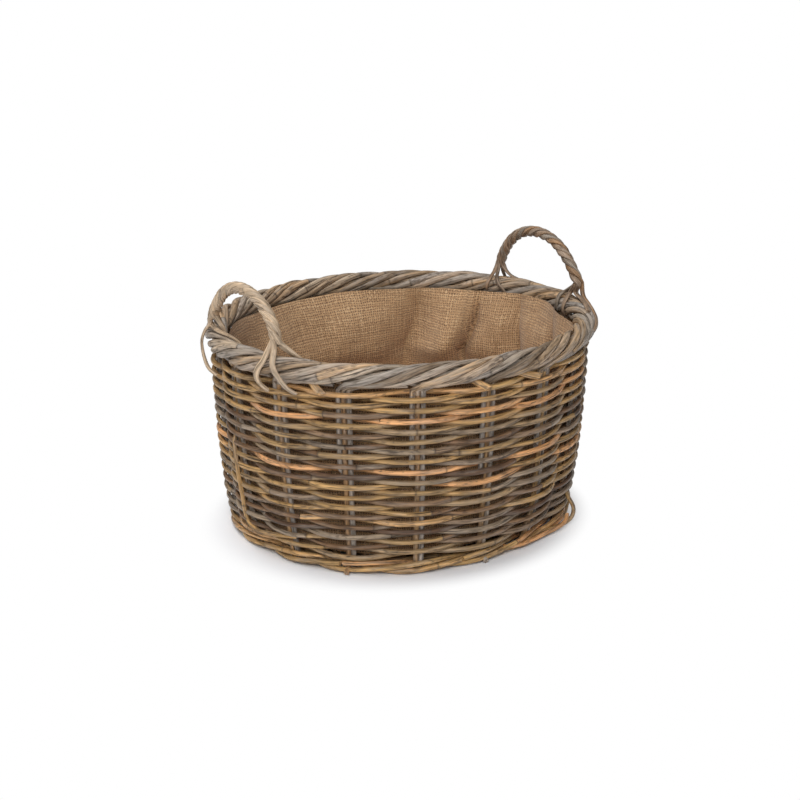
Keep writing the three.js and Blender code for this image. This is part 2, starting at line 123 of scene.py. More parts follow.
# Ends of canes that come loose from the wall: tone, then bends as degrees round the basket, distance out
# from the stakes' centre line and height
LOOSE_DIAMETER = 5.8
LOOSE_TONE_REACH = 0.05
LOOSE_CANES = (
    (0.45, ((304, 5, 54), (304.5, 13, 40), (305.5, 20, 28), (306, 22.5, 19), (305.8, 22.5, 11),
            (304, 20, 6.5), (300, 15.5, 5.5), (294, 10.5, 6.5), (288, 6, 8), (283, 2, 10))),
    (0.92, ((304, 17, 16), (302.5, 19.5, 12), (299.5, 19.5, 9), (296, 17.5, 7), (291.5, 16.5, 6),
            (286.5, 15.5, 6), (281.5, 13, 6.5), (277, 9, 8), (272.5, 3, 10))),
    (0.5, ((176, 3, 158), (176.6, 7.5, 148), (177.5, 9.7, 132), (178.1, 10, 112), (178.8, 10.3, 92),
           (179.3, 10, 72), (178.9, 9.6, 50), (179.6, 9.6, 36), (184.8, 9.8, 30.5), (190, 9.8, 33),
           (196.2, 9.8, 37.5), (202, 4, 39))))

# Stakes. Their places in a group are -1 for the short bye-stake, 0 for the tan one and 1 for the grey one
STAKE_SPACING = 6.7
STAKE_BEND_Z = 240  # here the stakes begin to turn into the rim
STAKE_OVERLAP = 3  # they reach this far into their bent upper parts
STAKE_STRAY = (0.6, 0.02)
STAKE_STRAY_OUT = 0.3  # share of the stray that is also outwards
STAKE_FOOT_Z = 1.6
STAKE_TONES = {-1: (0.75, 1), 0: (0.05, 0.4), 1: (0.65, 1)}
BYE_STAKE_FOOT_Z = 137
BYE_STAKE_SPREAD = 8
BYE_STAKE_CUT = 9
# Feet that stick out under the wale, by station and place in the group, with their reach at the floor
FOOT_KICKS = {(10, 0): 30, (12, 1): 30}
KICKED_FOOT_Z = 3.6
KICK_REACH_Z = 12

# Roped rim: each station's three canes turn once round the core while they pass just over two stations
RIM_REACH = 11
RIM_CROWN = 1.5  # the middle cane of a group lies this much higher
RIM_LAY = 2.25 * RIM_RUN
RIM_START = radians(-112)
RIM_SPACING = radians(46)
RIM_PRESS = 0.25  # share by which a cane is pressed flat against the core
RIM_STRAY = (1.2, 0.02)
RIM_BEND_RISE = 6  # a stake stays upright for this much more
RIM_JOINS = {-1: 6, 0: 14, 1: 30}  # from a stake to where its cane lies on the rim
RIM_ENDS = {-1: 2.3, 0: 2.86, 1: 2.86}  # stations from the stake to its tucked end
# Turns round the core at which the canes stop winding, and run on under the rim
RIM_TUCKS = {-1: radians(310), 0: radians(262), 1: radians(226)}
RIM_SIZES = (0.9, 1.08)  # thinnest and thickest cane, as shares of the diameter
RIM_TONES = (0.0, 0.13, 0.26, 0.43, 0.57)  # a cane's lowest tone is one of these
RIM_TONE_REACH = 0.26
RIM_CORE_DIAMETER = 14
RIM_CORE_TONES = (0.2, 0.5)
RIM_CORE_JOINT = 1  # gap where its ends meet
RIM_STRANDS = 9  # in the CAD
RIM_STEPS = 48
# Cut ends that stick out below the rim, by degrees round the basket, and their bends: share of the stub,
# degrees round the rim and lift off it
RIM_STUBS = ((210, 214), (257, 261), (272, 279))
STUB_BENDS = ((0, -100, -4), (0.5, -78, 2), (1, -70, 8))
STUB_TONES = (0.94, 1)
STUB_CUT = 7

# Rope handles of flattened canes
HANDLE_TURNS = 4.5
HANDLE_STRANDS = 4
HANDLE_REACH = 4.9
HANDLE_CUTS = (5, 5)
STRAND_WIDTH = 9
STRAND_PRESS = 0.5  # share by which a strand is pressed flat
STRAND_TILT = radians(24)  # one edge of a strand stands out over its neighbour
STRAND_STRAY = (0.7, 9)  # changes with the share of the arch
TWIST_STRAY = (0.35, 7)  # so does this, in radians
HANDLE_TONES = 0.6  # a strand's lowest tone is at most this
HANDLE_TONE_REACH = 0.4
TAIL_PRESS = 0.5
FORK_HEIGHT = 12  # above the rim, where the strands part
ARCH_STEPS = 72
ARCH_SAMPLE = 0.01  # share of the arch that gives its direction
FLARE_POWER = 18  # how close to the feet the legs bend out
# Flares are how far the legs bend out, forks are the shares of the arch where the strands part, and ease
# draws the turns of the rope together towards one foot
RIGHT_HANDLE = {
    "span": 156, "top": 366, "lean": radians(-1), "flares": (11, 4), "forks": (0.045, 0.98),
    "ease": 0, "tail_widths": (8, 5.8)}
LEFT_HANDLE = {
    "span": 146, "top": 354.5, "lean": radians(1), "flares": (8, 0), "forks": (0.02, 0.97),
    "ease": 0.05, "tail_widths": (7.4, 8.6)}

# The strands' ends on the rim: degrees round the basket, degrees round the rim from straight out towards
# straight up, and lift off it; first at the handle's foot that comes first going round, then at the other
RIGHT_TAILS = (
    (((340, 86, 7), (335.5, 80, 3), (330, 74, 1), (324, 66, -2)),
     ((337.5, 68, 7), (333, 54, 2.5), (328, 40, 1), (322, 26, 1), (317, 12, 0.5), (313, -5, -2)),
     ((345.5, 100, 4), (346.5, 126, 2), (346, 160, 1), (347, 205, 0)),
     ((342, 96, 6), (340.5, 128, 2), (340, 166, 1), (341, 205, 0), (343, 232, -1))),
    (((20.5, 112, 8), (20.5, 132, 2), (19, 160, 1), (17.2, 182, 0), (16.5, 210, -1)),
     ((22, 112, 8), (23.2, 130, 2), (24, 164, 1), (24.5, 192, 0)),
     ((20.5, 70, 6), (20.5, 40, 2), (20.5, 0, 1), (20.5, -30, 0)),
     ((18, 92, 8), (16, 92, 2), (13, 84, -2))))
LEFT_TAILS = (
    (((159, 66, 5), (160, 44, 4), (162, 14, 5), (162.5, -10, 6), (164, -40, 11), (166.5, -60, 19),
      (170, -72, 22)),
     ((156, 72, 7), (159.5, 72, 3), (165, 82, 1), (170, 96, 1), (173, 122, 0), (174, 150, 0)),
     ((164, 98, 7), (164, 112, 1), (164, 140, -3)),
     ((157, 100, 7), (154, 110, 1), (152, 135, -3))),
    (((198.5, 98, 12), (200.5, 110, 6), (202.5, 128, 2), (203.5, 155, 0), (204, 185, 0)),
     ((199.5, 95, 14), (201.5, 104, 8), (204, 116, 2), (205.5, 150, 0), (206, 180, 0)),
     ((198.4, 78, 8), (199.6, 34, 3), (200.6, 6, 3), (202.2, -24, 4), (204, -52, 8), (206.2, -66, 12)),
     ((196.6, 76, 8), (196.4, 34, 3), (194.8, -4, 3), (194, -34, 5), (194.4, -58, 9), (196, -74, 14))))

# Hessian lining, which lies against the wall at creases and billows in between. A crease has its degrees
# round the basket at the hem and lower down, the depth of the billow from it to the next crease, that
# billow's lean (below 1 towards it, above 1 away from it), and the crease's softness (0.5 for a sharp one)
LINING_CREASES = (
    (-18, -20, 24, 1.1, 1), (8, 7, 26, 1.3, 0.5), (26.5, 33, 54, 0.7, 0.5), (51, 54, 46, 0.55, 1.3),
    (152, 150, 16, 1, 1), (178, 178, 15, 1, 1), (209, 207, 18, 1, 1), (238, 240, 17, 1, 1),
    (266, 264, 20, 1, 1), (296, 298, 17, 1, 1), (320, 320, 16, 1, 1))
CREASE_STRAY = 4  # degrees
LINING_FLOOR_Z = 20
LINING_GAP = 15  # between the stakes' centre line and the cloth
HEM_Z = 258
HEM_RIPPLE = 1.5
HEM_RIPPLE_PATCHES = 3
# Degrees round the basket, half the width in degrees, and how far the hem rises there, stands in from the
# wall or is tucked closer to it
HEM_RISES = ((348, 46, 8), (138, 25, 4))
HEM_STAND = (338, 18, 12)
HEM_TUCK = (320, 14, 4)
STAND_LOSS = 0.7  # share of the stand that is lost lower down
LINING_FULLNESS = 1.06  # the cloth's length to the length it covers
LINING_DENT = 5  # soft dents in the cloth
LINING_DENT_PATCHES = 5
LINING_DENT_PACE = 0.02
FOLD_DROP = 85  # the billows reach their depth this far below the hem
HEM_FOLD = 0.12  # share of that depth at the hem
TUCK_DROP = (78, 125)  # and turn back under between these drops
TUCK_LOSS = 0.6  # share of the depth that is lost there
FOOT_FADE = 8  # billows and dents fade out over the lowest eighth
LINING_COLUMNS = 540
LINING_ROWS = 44
LINING_FLOOR_SIDES = 120
THREAD_SPACING = 3.4
THREAD_LEVEL = 0.7  # share of the height where the upright threads are evenly spaced

# Woven base
BASE_Z = 9.7
HOOP_GAP = 18.5  # between the stakes' centre line and the hoop's
HOOP_DIAMETER = 9
HOOP_TONES = (0.2, 0.6)
HOOP_JOINT = 2  # gap where its ends meet
HOOP_STEPS = 720
HOOP_SAMPLE = 2  # points this close to a line across count as on it
HOOP_CLEARANCE = 1  # between the hoop and the canes that end at it
BASE_CANE_DIAMETER = 5.6
BASE_STICK_COUNT = 7
BASE_STICK_TONES = (0.1, 0.6)
BASE_PITCH = 8
BASE_REACH = 5.8
BASE_WEAVE_TONES = (0, 0.7)

# Studio. The floor keeps its shadow in an oval, moved this far from the middle of the basket, and fades to
# white between these shares of the rim's half length and width
SHADOW_SHIFT = (-17, -13)
SHADOW_FADE = (0.88, 1.11)
FLOOR_RADIUS = 30  # metres
FLOOR_SIDES = 96
WORLD_STRENGTH = 0.16
# Lamps: place and size in metres, and watts
LAMPS = {
    "key_lamp": ((-1.75, -2.0, 2.1), 1.6, 60),
    "fill_lamp": ((1.6, -2.4, 1.6), 2.0, 2),
    "top_lamp": ((-0.5, 0.65, 2.5), 1.8, 37)}

# Camera, matched to the photograph
PHOTO_SIZE = 800
AIM_PIXEL = (402, 404)
AIM_HEIGHT = 150
CAMERA_DISTANCE = 2050
CAMERA_TURN = radians(-36)
CAMERA_RISE = radians(18.6)
SENSOR = 36
LENS = 67.5

chance = random.Random()  # each part sets its own seed


def linear(code):
    """Linear colour of an sRGB hex code such as #a08050"""
    values = [int(code[i:i + 2], 16) / 255 for i in (1, 3, 5)]
    return [v / 12.92 if v <= 0.04045 else ((v + 0.055) / 1.055) ** 2.4 for v in values] + [1]


def node(tree, kind, inputs=None, stops=None, **settings):
    """Adds a shader node; inputs take values, sockets or nodes' first outputs, and stops colour a ramp"""
    made = tree.nodes.new("ShaderNode" + kind)
    for name, value in settings.items():
        setattr(made, name, value)
    for name, value in (inputs or {}).items():
        source = value.outputs[0] if isinstance(value, bpy.types.Node) else value
        if isinstance(source, bpy.types.NodeSocket):
            tree.links.new(source, made.inputs[name])
        else:
            made.inputs[name].default_value = source
    for i, (place, colour) in enumerate(stops or []):
        elements = made.color_ramp.elements
        element = elements[i] if i < len(elements) else elements.new(place)
        element.position = place
        element.color = colour
    return made


def new_material(name):
    material = bpy.data.materials.new(name)
    material.use_nodes = True
    material.node_tree.nodes.clear()
    return material, material.node_tree


def cane_material(name, colours, greying, staining, roughness, wear=1):
    """Weathered rattan with its bark on: colours that change at the leaf scars, long streaks, splits along
    the grain, a grey bloom and dark stains in patches, specks and dark rings at the scars, under a dull
    sheen. Wear scales the streaks, specks, rings and splits. Real grain is about 0.5 mm wide, and is drawn
    coarser so that it shows"""
    material, tree = new_material(name)
    cane = node(tree, "Attribute", attribute_name="cane").outputs["Vector"]
    tone = node(tree, "Attribute", attribute_name="tone").outputs["Fac"]
    scar = node(tree, "Attribute", attribute_name="scar").outputs["Fac"]

    def grain(across, along, detail):
        """Chance pattern of a size in millimetres, across the cane and along it"""
        place = node(tree, "VectorMath", {0: cane, 1: (1 / across, 1 / across, 1 / along)},
                     operation="MULTIPLY")
        return node(tree, "TexNoise", {"Vector": place, "Scale": 1.0, "Detail": detail})

    def marks(pattern, low, high, most):
        """How much a mark shows: none where its pattern is low, and the most where it is high"""
        return node(tree, "MapRange",
                    {"Value": pattern, "From Min": low, "From Max": high, "To Min": 0.0, "To Max": most})

    streak = grain(across=2.2, along=34, detail=3.0)
    shade = node(tree, "MapRange",
                 {"Value": streak, "From Min": 0.32, "From Max": 0.68,
                  "To Min": 1 - 0.48 * wear, "To Max": 1 + 0.5 * wear})
    bloom = marks(grain(across=6, along=30, detail=4.0), 0.46, 0.66, greying)
    stain = marks(grain(across=4.5, along=16, detail=5.0), 0.54, 0.68, staining)
    fine = grain(across=2.8, along=8, detail=3.0)
    coarse = grain(across=9, along=70, detail=1.0)
    patch = node(tree, "Mix", {0: 0.4, 2: fine, 3: coarse}, data_type="FLOAT")
    speck = marks(patch, 0.58, 0.64, 0.7 * wear)
    split = marks(grain(across=1.8, along=40, detail=1.0), 0.63, 0.69, 1.0)
    spots = node(tree, "Math", {0: stain, 1: speck}, operation="MAXIMUM")
    ringed = node(tree, "Math", {0: scar, 1: 0.7 * wear}, operation="MULTIPLY")
    cracked = node(tree, "Math", {0: split, 1: 0.75 * wear}, operation="MULTIPLY")

    stops = [((i + 0.5) / len(colours), linear(colour)) for i, colour in enumerate(colours)]
    bark = node(tree, "ValToRGB", {"Fac": tone}, stops=stops)
    streaked = node(tree, "VectorMath", {0: bark, "Scale": shade}, operation="SCALE")
    colour = streaked.outputs[0]
    for share, mark in ((bloom, "#a39a90"), (spots, "#4a3727"), (ringed, "#33261c"), (cracked, "#261b13")):
        marked = node(tree, "Mix", {0: share, 6: colour, 7: linear(mark)}, data_type="RGBA")
        colour = marked.outputs[2]

    rough = node(tree, "MapRange",
                 {"Value": streak, "From Min": 0.3, "From Max": 0.7,
                  "To Min": roughness + 0.1, "To Max": roughness - 0.08})
    ridge = node(tree, "Math", {0: streak, 1: scar}, operation="ADD")
    height = node(tree, "Math", {0: ridge, 1: split}, operation="SUBTRACT")
    relief = node(tree, "Bump", {"Height": height, "Strength": 0.7, "Distance": 0.8 * MM})
    shader = node(tree, "BsdfPrincipled",
                  {"Base Color": colour, "IOR": 1.48, "Roughness": rough, "Normal": relief})
    node(tree, "OutputMaterial", {"Surface": shader})
    return material


def cut_end_material():
    """End grain of cut rattan: pale pith with fine dark pores about 0.5 mm apart"""
    material, tree = new_material("cut_cane_end")
    pore_spacing = 0.5 * MM
    place = node(tree, "TexCoord").outputs["Object"]
    pores = node(tree, "TexVoronoi", {"Vector": place, "Scale": 1 / pore_spacing})
    colour = node(tree, "ValToRGB", {"Fac": pores},
                  stops=[(0.1, linear("#6d5238")), (0.45, linear("#b8965f"))])
    shader = node(tree, "BsdfPrincipled", {"Base Color": colour, "Roughness": 0.85})
    node(tree, "OutputMaterial", {"Surface": shader})
    return material


def hessian_material():
    """Open plain-woven jute: coarse hairy threads over and under each other, uneven in thickness and
    colour. Painted shade darkens the holes between them, and each thread's sides where it dips under the
    crossing one. Real threads lie 2 to 3 mm apart, and are drawn coarser so that they show"""
    material, tree = new_material("hessian")
    waver_size = 50
    waver_reach = 10
    hair_size = 3.5
    slub_width = 2.2
    slub_length = 45
    cloth = node(tree, "UVMap", uv_map="threads")
    waver = node(tree, "TexNoise",
                 {"Vector": cloth, "Scale": 1 / waver_size, "Detail": 4.0, "Roughness": 0.68})
    drift = node(tree, "VectorMath", {0: waver.outputs["Color"], "Scale": waver_reach}, operation="SCALE")
    woven = node(tree, "VectorMath", {0: cloth, 1: drift}, operation="ADD")
    turned = node(tree, "VectorMath", {0: woven, "Scale": pi / THREAD_SPACING}, operation="SCALE")
    wave = node(tree, "VectorMath", {0: turned}, operation="SINE")
    across, up = node(tree, "SeparateXYZ", {0: wave}).outputs[:2]
    warp = node(tree, "Math", {0: across}, operation="ABSOLUTE")
    weft = node(tree, "Math", {0: up}, operation="ABSOLUTE")
    checks = node(tree, "Math", {0: across, 1: up}, operation="MULTIPLY")
    warp_over = node(tree, "MapRange", {"Value": checks, "From Min": -0.15, "From Max": 0.15})
    thread = node(tree, "Mix", {0: warp_over, 2: weft, 3: warp}, data_type="FLOAT")
    woven_over = node(tree, "Math", {0: warp, 1: weft}, operation="MAXIMUM")
    hairs = node(tree, "TexNoise", {"Vector": cloth, "Scale": 1 / hair_size, "Detail": 2.0})
    cover = node(tree, "Math", {0: hairs, 1: 0.9, 2: woven_over}, operation="MULTIPLY_ADD")
    slubs = []
    for pace in ((1 / slub_length, 1 / slub_width, 0), (1 / slub_width, 1 / slub_length, 0)):
        place = node(tree, "VectorMath", {0: woven, 1: pace}, operation="MULTIPLY")
        slubs.append(node(tree, "TexNoise", {"Vector": place, "Scale": 1.0, "Detail": 1.0}))
    slub = node(tree, "Mix", {0: warp_over, 2: slubs[0], 3: slubs[1]}, data_type="FLOAT")
    jute = node(tree, "ValToRGB", {"Fac": slub},
                stops=[(0.3, linear("#987655")), (0.5, linear("#b8926a")), (0.7, linear("#d0ae86"))])
    # Painted shade: each thread is darkened towards its sides, where it dips under the crossing thread, and
    # threads carries that shade
    rounded = node(tree, "MapRange",
                   {"Value": thread, "From Min": 0.1, "From Max": 0.75, "To Min": 0.88, "To Max": 1.04})
    threads = node(tree, "VectorMath", {0: jute, "Scale": rounded}, operation="SCALE")
    # Painted shade: where little thread covers the cloth, the holes are darkened to stand for the shade
    # behind them
    painted_hole_shade = node(tree, "MapRange",
                {"Value": cover, "From Min": 0.85, "From Max": 1.3, "To Min": 0.36, "To Max": 1.0})
    colour = node(tree, "VectorMath", {0: threads, "Scale": painted_hole_shade}, operation="SCALE")
    relief = node(tree, "Bump", {"Height": cover, "Strength": 0.7, "Distance": 0.7 * MM})
    shader = node(tree, "BsdfPrincipled",
                  {"Base Color": colour, "Roughness": 0.95, "Sheen Weight": 0.15, "Sheen Roughness": 0.6,
                   "Normal": relief})
    node(tree, "OutputMaterial", {"Surface": shader})
    return material


def on_oval(angle, offset, z):
    """A point that lies a given offset outside the rim's centre line"""
    return Vector(((HALF_LENGTH + offset) * cos(angle), (HALF_WIDTH + offset) * sin(angle), z))


def outward(angle):
    return Vector((HALF_WIDTH * cos(angle), HALF_LENGTH * sin(angle), 0)).normalized()


def around_rim(angle, turn):
    """Direction from the rim's centre line, turned from straight out towards straight up"""
    return outward(angle) * cos(turn) + UP * sin(turn)


def station_angle(station):
    return FIRST_STATION + 2 * pi * station / STATIONS


def foot_push(angle):
    """How far out the foot stands at an angle, rounded between the given places"""
    degrees = math.degrees(angle) % 360
    for (first, low), (last, high) in zip(FOOT_SHAPE, FOOT_SHAPE[1:]):
        if degrees <= last:
            share = (degrees - first) / (last - first)
            return low + (high - low) * share * share * (3 - 2 * share)


def wall_offset(z, angle):
    """Offset of the stakes' centre line from the rim's: the wall swells, and its foot is out of round"""
    rise = z / RIM_Z
    return (-STAKE_SETBACK - FOOT_INSET * (1 - rise) + WALL_BELLY * sin(pi * rise)
            + foot_push(angle) * max(0, 1 - z / FOOT_BEND_Z) ** 2)


def wander(*place):
    """Smooth chance between -1 and 1 at a place"""
    return noise.noise(Vector(place))


def wander_round(angle, patches, rise):
    """Smooth chance round the basket, in about as many patches"""
    return wander(patches * cos(angle), patches * sin(angle), rise)


def stray_at(stray, place, *row):
    """How far something strays at a place along its row"""
    reach, pace = stray
    return reach * wander(place * pace, *row)


def stretch_at(lengths, place):
    """Which stretch of a path a distance along it falls in, and the share of that stretch"""
    i = max(k for k in range(len(lengths) - 1) if lengths[k] <= max(place, 0))
    return i, (place - lengths[i]) / (lengths[i + 1] - lengths[i])


def follow(values, lengths):
    """A function of the distance along a path, from values at its points"""
    def between(place):
        i, share = stretch_at(lengths, place)
        return values[i] * (1 - share) + values[i + 1] * share

    return between


def smooth_route(points):
    """A rounded path through points: a function of the distance along it, and the points' distances"""
    lengths = [0]
    for a, b in zip(points, points[1:]):
        lengths.append(lengths[-1] + (b - a).length)

    def route(place):
        i, share = stretch_at(lengths, place)
        before = points[i - 1] if i > 0 else 2 * points[0] - points[1]
        after = points[i + 2] if i + 2 < len(points) else 2 * points[-1] - points[-2]
        lead = (points[i + 1] - before) / 2
        trail = (after - points[i]) / 2
        square = share * share
        cube = square * share
        return (points[i] * (2 * cube - 3 * square + 1) + lead * (cube - 2 * square + share)
                + points[i + 1] * (3 * square - 2 * cube) + trail * (cube - square))

    return route, lengths


def add_object(name, data):
    made = bpy.data.objects.new(name, data)
    bpy.context.collection.objects.link(made)
    return made


def add_sheet(name, shape, material):
    mesh = bpy.data.meshes.new(name)
    shape.to_mesh(mesh)
    shape.free()
    mesh.materials.append(material)
    return add_object(name, mesh)


def new_canes(name):
    """A bundle of canes that becomes one piece: their centre lines, and what is known of each ring"""
    curve = bpy.data.curves.new(name, "CURVE")
    curve.dimensions = "3D"
    curve.bevel_depth = MM
    curve.bevel_resolution = (CANE_SIDES - 4) // 2
    return {"name": name, "curve": curve, "rings": [], "cuts": [], "pressed": []}


def lay_cane(canes, route, start, end, diameter, tones, step=8, cuts=(0, 0), press=None, fresh=()):
    """Lays one cane along a route between two places on it. Step is the distance between its rings, cuts
    slant its ends, the diameter may be a function of the place, press gives the direction and share by
    which it is flat there, and fresh lists stretches that have kept their bright colour"""
    scars = []
    place = start + chance.uniform(*FIRST_SCAR) * INTERNODE[1]
    while place < end - 2 * SCAR_REACH:
        scars.append(place)
        place += chance.uniform(*INTERNODE)
    count = max(2, round((end - start) / step))
    even = [start + (end - start) * i / count for i in range(count + 1)]
    stops = [(p, 0) for p in even if all(abs(p - scar) > SCAR_CLEAR * SCAR_REACH for scar in scars)]
    stops += [(scar + SCAR_REACH * share, ring) for scar in scars for share, ring in SCAR_PROFILE]
    stops.sort()
    seed = chance.uniform(0, SEED_RANGE)
    band_tones = [chance.uniform(*tones) for _ in range(len(scars) + 1)]
    spline = canes["curve"].splines.new("POLY")
    spline.points.add(len(stops) - 1)
    first_ring = len(canes["rings"])
    for point, (place, ring) in zip(spline.points, stops):
        width = diameter(place) if callable(diameter) else diameter
        radius = width / 2 * (1 + stray_at(RADIUS_STRAY, place, seed, 0) + SCAR_SWELL * ring)
        centre = route(place) * MM
        point.co = (*centre, 1)
        point.radius = radius
        tone = band_tones[sum(scar <= place for scar in scars)]
        if any(first <= place <= last for first, last in fresh):
            tone = FRESH_TONE
        if press:
            canes["pressed"].append((len(canes["rings"]), centre, press(place)))
        canes["rings"].append((radius, place + seed * SEED_STRIDE, tone, ring))
    last_ring = len(canes["rings"]) - 1
    ends = ((first_ring, first_ring + 1), (last_ring, last_ring - 1))
    canes["cuts"] += [(*rings, slant) for rings, slant in zip(ends, cuts) if slant]


def finish_canes(canes, material, nodes):
    """Makes the bundle a mesh with closed ends that stands for CAD nodes, with what its material reads"""
    name = canes["name"]
    holder = add_object(name + "_lines", canes["curve"])
    graph = bpy.context.evaluated_depsgraph_get()
    mesh = bpy.data.meshes.new_from_object(holder.evaluated_get(graph))
    bpy.data.objects.remove(holder)
    bpy.data.curves.remove(canes["curve"])
    mesh.name = name
    turns = [2 * pi * i / CANE_SIDES for i in range(CANE_SIDES)]
    section = [v for radius, along, _, _ in canes["rings"] for turn in turns
               for v in (radius * cos(turn), radius * sin(turn), along)]
    mesh.attributes.new("cane", "FLOAT_VECTOR", "POINT").data.foreach_set("vector", section)
    for i, attribute in ((2, "tone"), (3, "scar")):
        values = [ring[i] for ring in canes["rings"] for _ in turns]
        mesh.attributes.new(attribute, "FLOAT", "POINT").data.foreach_set("value", values)

    shape = bmesh.new()
    shape.from_mesh(mesh)
    shape.verts.ensure_lookup_table()
    for ring, centre, press in canes["pressed"]:
        direction = press.normalized()
        for vert in shape.verts[ring * CANE_SIDES:(ring + 1) * CANE_SIDES]:
            vert.co -= direction * (vert.co - centre).dot(direction) * press.length
    for ring, neighbour, slant in canes["cuts"]:
        slant_end(shape, ring * CANE_SIDES, neighbour * CANE_SIDES, slant)
    ends = [edge for edge in shape.edges if edge.is_boundary]
    bmesh.ops.edgeloop_fill(shape, edges=ends, mat_nr=1)
    bmesh.ops.recalc_face_normals(shape, faces=shape.faces)
    for face in shape.faces:
        face.smooth = face.material_index == 0
    for edge in ends:
        edge.smooth = False
    shape.to_mesh(mesh)
    shape.free()
    mesh.materials.clear()
    mesh.materials.append(MATERIALS[material])
    mesh.materials.append(MATERIALS["cut_end"])
    piece = add_object(name, mesh)
    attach(piece, "root")
    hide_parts(*nodes)


def slant_end(shape, first, neighbour, slant):
    """Moves the corners of a cane's end along it, so that the cut is slanted"""
    corners = [shape.verts[first + i] for i in range(CANE_SIDES)]
    inner = [shape.verts[neighbour + i] for i in range(CANE_SIDES)]
    centre = sum((v.co for v in corners), Vector()) / CANE_SIDES
    axis = (centre - sum((v.co for v in inner), Vector()) / CANE_SIDES).normalized()
    lean = corners[0].co - centre
    for corner in corners:
        corner.co += axis * (slant * MM / 2) * (corner.co - centre).dot(lean) / lean.length_squared


def weave_route(place):
    """The spiral of the wall: in front of one station and behind the next, climbing all the way"""
    station = place / STATION_RUN
    angle = station_angle(station)
    z = FIRST_ROW_Z + station * CLIMB
    swing = cos(pi * station)
    reach = WEAVE_REACH * swing * (1 + WEAVE_ROUNDING - WEAVE_ROUNDING * swing * swing)
    stray = stray_at(WEAVER_STRAY, place, 3, 0)
    row_sag = ROW_SAG * wander_round(angle, ROW_SAG_PATCHES, z * ROW_SAG_PACE)
    sag = stray_at(WEAVER_SAG_STRAY, place, 0, 8)
    return on_oval(angle, wall_offset(z, angle) + (reach + stray), z + (row_sag + sag))


def wall_weave():
    chance.seed(1)
    heights, lows, highs = zip(*WALL_TONES)
    low_tone = follow(lows, heights)
    high_tone = follow(highs, heights)
    fresh = [(first * STATION_RUN, last * STATION_RUN) for first, last in FRESH_CANES]
    for index in range(WEAVER_COUNT):
        canes = new_canes(f"wall_canes_{index + 1:02d}")
        place = (index * CROSSINGS - 0.5) * STATION_RUN
        last = place + CROSSINGS * STATION_RUN
        while place < last:
            end = place + chance.uniform(*CANE_RUN)
            if end > last - CANE_RUN[0] / 2:
                end = last
            z = weave_route((place + end) / 2).z
            tone = chance.uniform(low_tone(z), high_tone(z))
            tones = (tone - TONE_REACH, tone + TONE_REACH)
            diameter = WEAVER_DIAMETER * chance.uniform(*CANE_SIZES)
            cuts = (chance.uniform(*BUTT_CUTS), chance.uniform(*BUTT_CUTS))
            lay_cane(canes, weave_route, place + BUTT_GAP, end - BUTT_GAP, diameter, tones, step=10,
                     cuts=cuts, fresh=fresh)
            place = end
        finish_canes(canes, "weaver", [f"wall_weaver_{index + 1:02d}"])


def wale_route(strand):
    """A strand of the foot wale: in front of two stations and behind the third, rising over the others"""
    def route(place):
        station = place / STATION_RUN
        angle = station_angle(station)
        swing = 2 * pi * (station - strand + 0.5) / WALE_STRANDS
        reach = WALE_REACH * (WALE_SHAPE + cos(swing) - WALE_SHAPE * cos(2 * swing))
        sag = stray_at(WALE_SAG_STRAY, place, strand * 4, 6)
        z = WALE_Z + WALE_RISE * sin(swing) + sag
        return on_oval(angle, wall_offset(WALE_Z, angle) + reach, z)

    return route


def foot_wale():
    """The wale along the bottom edge, and the ends of canes that come loose from the wall"""
    chance.seed(2)
    canes = new_canes("foot_wale_canes")
    for strand in range(WALE_STRANDS):
        fresh = [(FRESH_FOOT[0] * STATION_RUN, FRESH_FOOT[1] * STATION_RUN)] if strand == 0 else ()
        first = strand * WALE_STAGGER
        for length, tones in WALE_CANES:
            last = first + length
            lay_cane(canes, wale_route(strand), first * STATION_RUN + WALE_GAP,
                     last * STATION_RUN - WALE_GAP, WEAVER_DIAMETER, tones, cuts=WALE_CUTS, fresh=fresh)
            first = last
    for tone, bends in LOOSE_CANES:
        points = []
        for degrees, out, z in bends:
            angle = radians(degrees)
            points.append(on_oval(angle, wall_offset(z, angle) + out, z))
        route, lengths = smooth_route(points)
        tones = (tone - LOOSE_TONE_REACH, tone + LOOSE_TONE_REACH)
        lay_cane(canes, route, 0, lengths[-1], LOOSE_DIAMETER, tones, step=5, cuts=WALE_CUTS)
    finish_canes(canes, "weaver", ["foot_wale"])


def stake_route(station, side):
    """An upright stake: a function of height, beside its neighbours in the group"""
    angle = station_angle(station)
    along = UP.cross(outward(angle))

    def route(z):
        stray = stray_at(STAKE_STRAY, z, station * 3.1, side)
        kick = FOOT_KICKS.get((station, side), 0) * max(0, 1 - z / KICK_REACH_Z) ** 2
        offset = wall_offset(z, angle) + STAKE_STRAY_OUT * stray + kick
        return on_oval(angle, offset, z) + along * (side * STAKE_SPACING + stray)

    return route


def wall_stakes():
    chance.seed(3)
    top = STAKE_BEND_Z + STAKE_OVERLAP
    for station in range(STATIONS):
        canes = new_canes(f"stake_canes_{station + 1:02d}")
        bye_foot = BYE_STAKE_FOOT_Z + chance.uniform(-BYE_STAKE_SPREAD, BYE_STAKE_SPREAD)
        lay_cane(canes, stake_route(station, -1), bye_foot, top, STAKE_DIAMETER, STAKE_TONES[-1], step=12,
                 cuts=(BYE_STAKE_CUT, 0))
        for side in (0, 1):
            foot = KICKED_FOOT_Z if (station, side) in FOOT_KICKS else STAKE_FOOT_Z
            lay_cane(canes, stake_route(station, side), foot, top, STAKE_DIAMETER, STAKE_TONES[side],
                     step=4)
        finish_canes(canes, "stake", [f"stake_group_{station + 1:02d}"])


